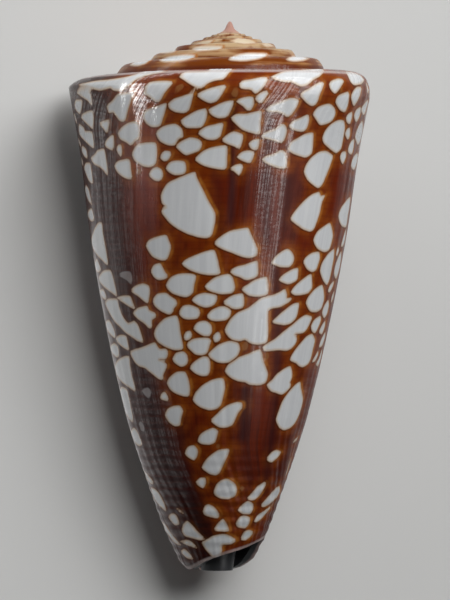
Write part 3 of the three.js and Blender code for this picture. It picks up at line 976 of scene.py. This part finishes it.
# Looks. Colours are linear.
WHITE = (0.7, 0.71, 0.72)
WHITE_SHADE = (0.65, 0.66, 0.675)
TIP_WHITE = (0.6, 0.5, 0.36)
SPOT_TAN = (0.3, 0.13, 0.04)
SPOT_GREY = (0.4, 0.37, 0.37)
DARK_GROUND = (0.08, 0.009, 0.002)
RED_GROUND = (0.14, 0.015, 0.0015)
ORANGE_GROUND = (0.235, 0.048, 0.003)
RIM_BROWN = (0.05, 0.01, 0.003)
FLUSH_AMBER = (0.4, 0.14, 0.022)
EDGE_TAN = (0.38, 0.17, 0.05)
EDGE_CREAM = (0.6, 0.46, 0.33)
STREAK_PURPLE = (0.035, 0.006, 0.007)
# Painted shade: dark purple-brown laid over the ground on the lip's side of the shell
LIP_SIDE_SHADE = (0.018, 0.005, 0.005)
SPIRE_OCHRE = (0.36, 0.135, 0.02)
SPIRE_AMBER = (0.16, 0.036, 0.003)
SPIRE_CREAM = (0.5, 0.37, 0.22)
STEP_BROWN = (0.1, 0.018, 0.006)
EDGE_PALE = (0.5, 0.42, 0.4)
APEX_PINK = (0.45, 0.25, 0.2)
PORCELAIN = (0.74, 0.74, 0.76)
# Painted shade: the dark grey of the lining where the hollow's front end lies in shadow
FRONT_SHADE = (0.06, 0.062, 0.066)
LIP_CREAM = (0.55, 0.4, 0.28)
FLOOR_GREY = (0.62, 0.62, 0.61)
AROUND = 2 * math.pi * 12  # millimetres of growth in a whorl
BUMP_DEPTH = 0.05
MIX_COLOURS_IN = (6, 7)  # sockets of a Mix node that take and give a colour
MIX_COLOUR_OUT = 2

# Noise patterns: how fine along the whorl and down it, detail, roughness, and a place in the noise
BROAD_TONES = (0.16, 0.09, 4, 0.55, 0)
FINE_LINES = (1.8, 0.05, 4, 0.6, 3.1)
GROUND_PATCHES = (0.7, 0.7, 2, 0.5, 4.9)
THREAD_WAVER = (0.15, 0.6, 2, 0.5, 7.7)
SPIRE_LINES = (0.07, 3.4, 2, 0.5, 6.2)
SPIRE_PATCHES = (0.22, 0.7, 2, 0.5, 9.4)
OUTLINE_WOBBLE = (1.3, 1.3, 3, 0.6, 1.3)
FLUSH_PATCHES = (0.9, 0.9, 2, 0.5, 2.7)
WHITE_CLOUD = (1.7, 0.12, 3, 0.6, 5.1)
FURROW_WAVER = (0.25, 0.5, 2, 0.5, 5.9)
SKIN_GRAIN = (5, 0.4, 3, 0.6, 2.2)
SKIN_CORDS = (0.2, 3.2, 2, 0.5, 4.4)
GLOSS_STRANDS = (7, 0.1, 3, 0.7, 3.3)
GLOSS_NICKS = (2, 5, 2, 0.6, 8.8)

# The pairs and fours of numbers in the material are ranges for rise: low and high, and where needed
# start and end
LINE_LEAN = (9.5, 1.5, 0, 4)  # growth lines lean away from the lip near the shoulder, by up to 4 mm
LIP_SIDE_SHADE_SLANT = -0.13  # the painted shade on the lip's side is wider near the front
LIP_SIDE_SHADE_BAND = (14, 9)
SPIRE_START = (0.97 * AROUND, 1.04 * AROUND)


class Shader:
    """Short names for the nodes of one material."""

    def __init__(self, name):
        self.material = bpy.data.materials.new(name)
        self.material.use_nodes = True
        self.nodes = self.material.node_tree.nodes
        self.principled = self.nodes["Principled BSDF"]

    def link(self, value, socket):
        if isinstance(value, bpy.types.NodeSocket):
            self.material.node_tree.links.new(value, socket)
        else:
            socket.default_value = value

    def attribute(self, name):
        node = self.nodes.new("ShaderNodeAttribute")
        node.attribute_name = name
        return node.outputs["Fac"]

    def math(self, operation, *values):
        node = self.nodes.new("ShaderNodeMath")
        node.operation = operation
        for value, socket in zip(values, node.inputs):
            self.link(value, socket)
        return node.outputs["Value"]

    def plus(self, first, second):
        return self.math("ADD", first, second)

    def minus(self, first, second):
        return self.math("SUBTRACT", first, second)

    def times(self, value, *factors):
        for factor in factors:
            value = self.math("MULTIPLY", value, factor)
        return value

    def less(self, whole, loss, where):
        """A strength that is lower by the loss where another value is one."""
        return self.math("MULTIPLY_ADD", where, -loss, whole)

    def mixture(self, first, second, share):
        """The sum of two values, weighted by the second's share."""
        return self.plus(self.times(first, 1 - share), self.times(second, share))

    def rise(self, value, low, high, start=0, end=1):
        """Goes smoothly from start to end as the value goes from low to high."""
        node = self.nodes.new("ShaderNodeMapRange")
        node.interpolation_type = "SMOOTHSTEP"
        for given, name in (
            (value, "Value"), (low, "From Min"), (high, "From Max"), (start, "To Min"), (end, "To Max"),
        ):
            self.link(given, node.inputs[name])
        return node.outputs["Result"]

    def blend(self, share, first, second):
        node = self.nodes.new("ShaderNodeMix")
        node.data_type = "RGBA"
        self.link(share, node.inputs["Factor"])
        for given, number in zip((first, second), MIX_COLOURS_IN):
            self.link((*given, 1) if isinstance(given, tuple) else given, node.inputs[number])
        return node.outputs[MIX_COLOUR_OUT]

    def bump(self, height, strength):
        """The normal of a height in units of BUMP_DEPTH."""
        node = self.nodes.new("ShaderNodeBump")
        node.inputs["Strength"].default_value = strength
        node.inputs["Distance"].default_value = BUMP_DEPTH * MM
        self.link(height, node.inputs["Height"])
        return node.outputs["Normal"]


class ShellShader(Shader):
    """The shell's material, with the values that its looks follow."""

    def __init__(self):
        super().__init__("shell_surface")
        self.growth, self.depth = self.attribute("growth"), self.attribute("depth")
        self.line = self.minus(self.growth, self.rise(self.depth, *LINE_LEAN))
        # The band on the lip's side where painted shade lies, wider towards the front
        from_lip = self.math("MULTIPLY_ADD", self.depth, LIP_SIDE_SHADE_SLANT, self.growth)
        self.shaded_lip_side = self.rise(from_lip, *LIP_SIDE_SHADE_BAND)
        self.on_spire = self.rise(self.growth, *SPIRE_START)

    def noise(self, along, pattern):
        """A noise pattern that follows the growth or its lines, and the depth."""
        fine_along, fine_down, detail, roughness, place_in_noise = pattern
        place = self.nodes.new("ShaderNodeCombineXYZ")
        self.link(self.times(along, fine_along), place.inputs["X"])
        self.link(self.times(self.depth, fine_down), place.inputs["Y"])
        self.link(place_in_noise, place.inputs["Z"])
        node = self.nodes.new("ShaderNodeTexNoise")
        node.inputs["Scale"].default_value = 1
        node.inputs["Detail"].default_value = detail
        node.inputs["Roughness"].default_value = roughness
        self.link(place.outputs[0], node.inputs["Vector"])
        return node.outputs["Fac"]

    def ripples(self, spacing, waver, shift, band):
        """Wavering lines along the whorl, one in them and zero between them."""
        shifted = self.times(self.noise(self.growth, waver), shift)
        phase = self.plus(self.times(self.depth, 2 * math.pi / spacing), shifted)
        return self.rise(self.math("SINE", phase), *band)


LINES_IN_GROUND = 0.4  # share of the fine lines in the ground's tone
FRONT_DARKENING = (24, 36, 0, 0.05)
RED_TONES = (0.38, 0.54)
AMONG_MARKS = (-1.15, -0.1)
ORANGE_TONES = (0.36, 0.62, 0.35, 0.95)
LIP_SIDE_SHADE_STRENGTH = 0.92
THREAD_SPACING = 0.55
THREAD_SHIFT = 5
THREAD_BAND = (0.2, 1)
THREAD_DARKNESS = 0.22


def ground_colour(shader, flush):
    """Red-brown, orange among the marks, with faint lines along and across the whorl, and painted shade on
    the lip's side.
    """
    broad = shader.noise(shader.growth, BROAD_TONES)
    lines = shader.noise(shader.line, FINE_LINES)
    tone = shader.mixture(broad, lines, LINES_IN_GROUND)
    tone = shader.minus(tone, shader.rise(shader.depth, *FRONT_DARKENING))
    colour = shader.blend(shader.rise(tone, *RED_TONES), DARK_GROUND, RED_GROUND)
    patches = shader.rise(shader.noise(shader.growth, GROUND_PATCHES), *ORANGE_TONES)
    among = shader.times(shader.rise(flush, *AMONG_MARKS), patches)
    colour = shader.blend(among, colour, ORANGE_GROUND)
    # Painted shade darkens the ground on the lip's side
    colour = shader.blend(shader.times(shader.shaded_lip_side, LIP_SIDE_SHADE_STRENGTH), colour, LIP_SIDE_SHADE)
    threads = shader.ripples(THREAD_SPACING, THREAD_WAVER, THREAD_SHIFT, THREAD_BAND)
    return shader.blend(shader.times(threads, THREAD_DARKNESS), colour, DARK_GROUND)


PATCHES_ON_SPIRE = 0.55  # share of the patches in the spire's tone
YOUNGER_DARKENING = (2.3 * AROUND, 1.3 * AROUND, 0, 0.08)
OCHRE_TONES = (0.39, 0.58)
CREAM_DEPTHS = (4.2, 1.8, 0.15, 0.9)
CREAM_TONES = (0.4, 0.56)
STEP_FADING = (1.6 * AROUND, 2.2 * AROUND, 0.85, 0.35)
STEP_FOOT = (0.5, 0.85)


def spire_colour(shader):
    """Ochre with brown lines along the whorls, and paler towards the tip."""
    lines = shader.noise(shader.growth, SPIRE_LINES)
    patches = shader.noise(shader.growth, SPIRE_PATCHES)
    tone = shader.mixture(lines, patches, PATCHES_ON_SPIRE)
    tone = shader.minus(tone, shader.rise(shader.growth, *YOUNGER_DARKENING))
    colour = shader.blend(shader.rise(tone, *OCHRE_TONES), SPIRE_AMBER, SPIRE_OCHRE)
    cream = shader.times(shader.rise(shader.depth, *CREAM_DEPTHS), shader.rise(tone, *CREAM_TONES))
    colour = shader.blend(cream, colour, SPIRE_CREAM)
    foot = shader.rise(shader.attribute("step"), *STEP_FOOT)
    brown = shader.times(shader.rise(shader.growth, *STEP_FADING), foot)
    return shader.blend(brown, colour, STEP_BROWN)


FLUSH_REACH = (-0.2, 0.08)
FLUSH_TONES = (0.38, 0.6, 0.3, 0.9)
LIP_FLUSH_LOSS = 0.85
RIM_REACH = (-0.14, 0)
RIM_STRENGTH = 0.7
SPIRE_RIM_LOSS = 0.55
TAN_EDGE = (-0.08, -0.02)
TAN_EDGE_STRENGTH = 0.4
SPOT_EDGE = (-0.1, 0.05)
SPOT_STRENGTH = 0.6


def add_surroundings(shader, colour, rim, flush, mark):
    """The amber flush, dark rim and tan edge round the marks, and the small tan spots."""
    amber = shader.rise(shader.noise(shader.growth, FLUSH_PATCHES), *FLUSH_TONES)
    amber = shader.times(shader.rise(flush, *FLUSH_REACH), amber)
    # The amber flush is weaker on the lip's side, under the painted shade
    amber = shader.times(amber, shader.less(1, LIP_FLUSH_LOSS, shader.shaded_lip_side))
    colour = shader.blend(amber, colour, FLUSH_AMBER)
    strength = shader.less(RIM_STRENGTH, SPIRE_RIM_LOSS, shader.on_spire)
    colour = shader.blend(shader.times(shader.rise(rim, *RIM_REACH), strength), colour, RIM_BROWN)
    edge = shader.rise(mark, *TAN_EDGE)
    colour = shader.blend(shader.times(edge, TAN_EDGE_STRENGTH), colour, EDGE_TAN)
    spots = shader.rise(shader.attribute("tan_spots"), *SPOT_EDGE)
    spot_colour = shader.blend(shader.shaded_lip_side, SPOT_TAN, SPOT_GREY)
    return shader.blend(shader.times(spots, SPOT_STRENGTH), colour, spot_colour)


CLOUD_TONES = (0.35, 0.65)
TIP_WHITE_DEPTHS = (3, 1.9)
CREAM_EDGE = (0.24, 0.02)
CREAM_EDGE_STRENGTH = 0.8


def white_colour(shader, mark):
    """White with faint clouds, and cream near the tip and at a mark's edge."""
    cloud = shader.rise(shader.noise(shader.line, WHITE_CLOUD), *CLOUD_TONES)
    white = shader.blend(cloud, WHITE, WHITE_SHADE)
    white = shader.blend(shader.rise(shader.depth, *TIP_WHITE_DEPTHS), white, TIP_WHITE)
    edge = shader.rise(mark, *CREAM_EDGE)
    return shader.blend(shader.times(edge, CREAM_EDGE_STRENGTH), white, EDGE_CREAM)


WOBBLE_SIZE = 0.12
WOBBLE_OF_MARKS = 0.5
MARK_SOFTNESS = 0.06
SPIRE_SOFTNESS = 0.08
PALE_EDGE = (0.36, 0.14)
PALE_EDGE_STRENGTH = 0.6
PINK_DEPTHS = (1.2, 0.75)


def outside_colour(shader):
    """The ground, the marks on it, the pale edges of the shell and the pink tip."""
    wobble = shader.minus(shader.noise(shader.growth, OUTLINE_WOBBLE), 0.5)
    wobble = shader.times(wobble, WOBBLE_SIZE)
    rim, flush = (shader.plus(shader.attribute(name), wobble) for name in ("rim", "flush"))
    mark = shader.attribute("mark_0")
    for number in range(1, LAYERS):
        mark = shader.math("MAXIMUM", mark, shader.attribute(f"mark_{number}"))
    mark = shader.plus(mark, shader.times(wobble, WOBBLE_OF_MARKS))
    colour = shader.blend(shader.attribute("streak"), ground_colour(shader, flush), STREAK_PURPLE)
    colour = shader.blend(shader.on_spire, colour, spire_colour(shader))
    colour = add_surroundings(shader, colour, rim, flush, mark)
    softness = shader.math("MULTIPLY_ADD", shader.on_spire, SPIRE_SOFTNESS, MARK_SOFTNESS)
    covered = shader.rise(mark, shader.times(softness, -1), softness)
    colour = shader.blend(covered, colour, white_colour(shader, mark))
    edge = shader.rise(shader.attribute("edge"), *PALE_EDGE)
    colour = shader.blend(shader.times(edge, PALE_EDGE_STRENGTH), colour, EDGE_PALE)
    return shader.blend(shader.rise(shader.depth, *PINK_DEPTHS), colour, APEX_PINK)


LINING_START = (0.1, 0.5)
PORCELAIN_START = (0.5, 1)
FRONT_SHADE_DEPTHS = (38, 44)


def shell_colour(shader):
    """The outside, and inside it the white lining with its cream lip and painted shade towards its front end.
    """
    inner = shader.attribute("inside")
    lining = shader.blend(shader.rise(inner, *PORCELAIN_START), LIP_CREAM, PORCELAIN)
    # Painted shade darkens the lining and the pillar's end towards the front
    lining = shader.blend(shader.rise(shader.depth, *FRONT_SHADE_DEPTHS), lining, FRONT_SHADE)
    return shader.blend(shader.rise(inner, *LINING_START), outside_colour(shader), lining)


NICK_STRENGTH = 0.35
SHOULDER_GLOSS = (4, 13, 0.015, 0)
GLOSS_TONES = (0.64, 0.76, 0.06, 1)
GLOSS_DEPTHS = (7, 17, 1, 0.35)
SPIRE_GLOSS = 0.5
FURROW_SHIFT = 6
FURROW_BAND = (-0.2, 0.8)
FURROW_DEPTHS = (22, 34, 0.3, 1)
FURROW_LOSS = 0.8


def coat_gloss(shader, strands):
    """Gloss that is broken up along the growth lines, and weaker on the spire and towards the front."""
    nicks = shader.noise(shader.line, GLOSS_NICKS)
    tone = shader.math("MULTIPLY_ADD", nicks, NICK_STRENGTH, strands)
    tone = shader.plus(tone, shader.rise(shader.depth, *SHOULDER_GLOSS))
    furrows = shader.ripples(CORD_SPACING, FURROW_WAVER, FURROW_SHIFT, FURROW_BAND)
    furrows = shader.times(furrows, shader.rise(shader.depth, *FURROW_DEPTHS))
    return shader.times(
        shader.rise(tone, *GLOSS_TONES),
        shader.rise(shader.depth, *GLOSS_DEPTHS),
        shader.rise(shader.growth, *SPIRE_START, 1, SPIRE_GLOSS),
        shader.less(1, FURROW_LOSS, furrows),
    )


CORDS_IN_SKIN = 0.4  # share of the cords in the skin's relief
SKIN_BUMP = 0.3
COAT_BUMP = 0.12
ROUGHNESS = (0.3, 0.7, 0.3, 0.42)
SPECULAR = 0.06
COAT_ROUGHNESS = 0.07


def shell_material():
    shader = ShellShader()
    grain = shader.noise(shader.line, SKIN_GRAIN)
    strands = shader.noise(shader.line, GLOSS_STRANDS)
    relief_of_skin = shader.mixture(grain, shader.noise(shader.growth, SKIN_CORDS), CORDS_IN_SKIN)
    for value, name in (
        (shell_colour(shader), "Base Color"),
        (shader.bump(relief_of_skin, SKIN_BUMP), "Normal"),
        (shader.rise(grain, *ROUGHNESS), "Roughness"),
        (coat_gloss(shader, strands), "Coat Weight"),
        (shader.bump(strands, COAT_BUMP), "Coat Normal"),
    ):
        shader.link(value, shader.principled.inputs[name])
    shader.principled.inputs["Specular IOR Level"].default_value = SPECULAR
    shader.principled.inputs["Coat Roughness"].default_value = COAT_ROUGHNESS
    return shader.material


def floor_material():
    shader = Shader("pale_floor")
    shader.link((*FLOOR_GREY, 1), shader.principled.inputs["Base Color"])
    shader.principled.inputs["Roughness"].default_value = 1
    shader.principled.inputs["Specular IOR Level"].default_value = 0
    return shader.material


# From the shell's own axes to the frame: it lies down, and its apex is where the solid's apex is
lying = Matrix.Rotation(math.radians(LIE_TILT - 90), 3, "X")


def apex_in_frame():
    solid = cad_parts["shell"]
    corners = [solid.matrix_world @ vertex.co for vertex in solid.data.vertices]
    spireward = lying @ photo_up
    return max(corners, key=spireward.dot)


apex_place = apex_in_frame()


def to_frame(point):
    return lying @ Vector(point) * MM + apex_place


OLDER_WHORLS = -1.02  # age before which no edge is counted
FAR_FROM_EDGE = 1


def edge_distance(top):
    """Distance on the last whorl from the shoulder's edge or the front edge, whichever is nearer."""
    shoulder = np.hypot(radius - side_radius(age, top), depth - top)
    front = (1 - down) * (LENGTH - top)
    front = np.where(age > -MOUTH_END, front, FAR_FROM_EDGE)
    return np.where(age < OLDER_WHORLS, FAR_FROM_EDGE, np.minimum(shoulder, front))


def make_shell():
    top, foot = shoulder_depth(age), foot_depth(age)
    mesh = bpy.data.meshes.new("shell_surface")
    mesh.from_pydata([to_frame(point) for point in points], [], shell.faces)
    attributes = {
        "growth": -age * AROUND,
        "depth": depth,
        "inside": inside,
        "step": np.where(age < -1, (depth - top) / (foot - top), 0),
        "edge": edge_distance(top),
        "streak": streak_shade(),
        "tan_spots": tan_spots,
        "rim": distances["rim"],
        "flush": distances["flush"],
        **{f"mark_{number}": layer for number, layer in enumerate(layers)},
    }
    for name, values in attributes.items():
        attribute = mesh.attributes.new(name, "FLOAT", "POINT")
        attribute.data.foreach_set("value", values.astype(np.float32))
    work = bmesh.new()
    work.from_mesh(mesh)
    bmesh.ops.recalc_face_normals(work, faces=work.faces)
    work.to_mesh(mesh)
    work.free()
    mesh.shade_smooth()
    mesh.set_sharp_from_angle(angle=math.radians(SHARP_ANGLE))
    mesh.materials.append(shell_material())
    piece = bpy.data.objects.new("shell_surface", mesh)
    bpy.context.scene.collection.objects.link(piece)
    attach(piece, "root")
    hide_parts("shell")


FLOOR_SIZE = 4  # metres, as the camera's clipping is
CLIP_START = 0.01
CLIP_END = 10


def make_floor():
    mesh = bpy.data.meshes.new("floor")
    half = FLOOR_SIZE / 2
    corners = [(-half, -half, 0), (half, -half, 0), (half, half, 0), (-half, half, 0)]
    mesh.from_pydata(corners, [], [(0, 1, 2, 3)])
    mesh.materials.append(floor_material())
    floor = bpy.data.objects.new("floor", mesh)
    bpy.context.scene.collection.objects.link(floor)


def facing_rotation(direction, up):
    """A rotation whose -Z axis points along a direction, with Y towards up."""
    back = -direction.normalized()
    right = up.cross(back).normalized()
    return Matrix((right, back.cross(right), back)).transposed().to_4x4()


def make_camera():
    data = bpy.data.cameras.new("camera")
    data.sensor_width = SENSOR
    data.lens = PIXELS_PER_MM * CAMERA_DISTANCE * SENSOR / PHOTO_HEIGHT
    data.clip_start = CLIP_START
    data.clip_end = CLIP_END
    camera = bpy.data.objects.new("camera", data)
    turn = facing_rotation(lying @ -to_camera, lying @ photo_up)
    camera.matrix_world = Matrix.Translation(to_frame(camera_place)) @ turn
    bpy.context.scene.collection.objects.link(camera)
    bpy.context.scene.camera = camera


# Soft lights over the shell: degrees to the right round the axis from the camera, degrees towards the
# spire, distance, width and length in millimetres, and brightness. The gloss doesn't mirror them.
SOFT_LIGHTS = {
    "fill": (40, 42, 330, 320, 320, 4.3),
    "left": (-48, 42, 330, 200, 220, 1.5),
}
# Lights that only show as reflections in the gloss, given in the same way
GLINTS = {
    "key": (43, -13, 420, 180, 220, 17),
    "spark": (56, 26, 420, 400, 480, 12),
}
GLINT_SHARES = (1, 0.75, 0.5)  # of a glint's size: ovals one in another, so that its edge fades
# Panels beside the shell, which also only show in the gloss: middle, direction they face and direction of
# their length, width and length in millimetres, and brightness
LOW_GLINTS = {
    "veil": ((-59, -36.6, 0.5), (0, 0, 1), (-0.82, -0.57, 0), 44, 130, 0.95),
    "streak": ((-50, 23.5, 10), (1, 0, 0), (0, 1, 0), 12, 40, 26),
    "shoulder_streak": ((-50, 74, 0.5), (0, 0, 1), (1, 0.6, 0), 45, 80, 7),
}
WORLD_GREY = (0.5, 0.5, 0.5)
WORLD_STRENGTH = 0.06


def add_area_light(name, place, width, length, brightness):
    data = bpy.data.lights.new(name, "AREA")
    data.shape = "RECTANGLE"
    data.size, data.size_y = width * MM, length * MM
    data.energy = math.pi * data.size * data.size_y * brightness
    light = bpy.data.objects.new(name, data)
    light.matrix_world = place
    light.visible_camera = False
    bpy.context.scene.collection.objects.link(light)
    return light


def above_shell(right, up, distance):
    """A place over the shell that faces its middle."""
    across, rise = math.radians(right), math.radians(up)
    level = to_camera * math.cos(across) + photo_right * math.sin(across)
    toward = lying @ (level * math.cos(rise) + photo_up * math.sin(rise))
    turn = facing_rotation(-toward, lying @ photo_up)
    return Matrix.Translation(to_frame(middle) + toward * distance * MM) @ turn


def make_lights():
    for name, (right, up, distance, *rest) in SOFT_LIGHTS.items():
        light = add_area_light(name, above_shell(right, up, distance), *rest)
        light.visible_glossy = False
    for name, (right, up, distance, width, length, brightness) in GLINTS.items():
        place = above_shell(right, up, distance)
        for share in GLINT_SHARES:
            size = width * share, length * share
            light = add_area_light(name, place, *size, brightness / len(GLINT_SHARES))
            light.data.shape = "ELLIPSE"
            light.visible_diffuse = False
    for name, (centre, facing_to, along, *rest) in LOW_GLINTS.items():
        place = Matrix.Translation(Vector(centre) * MM) @ facing_rotation(Vector(facing_to), Vector(along))
        add_area_light(name, place, *rest).visible_diffuse = False
    world = bpy.data.worlds.new("studio")
    world.use_nodes = True
    background = world.node_tree.nodes["Background"]
    background.inputs["Color"].default_value = (*WORLD_GREY, 1)
    background.inputs["Strength"].default_value = WORLD_STRENGTH
    bpy.context.scene.world = world


make_shell()
make_floor()
make_camera()
make_lights()
bpy.context.scene.view_settings.view_transform = "Standard"
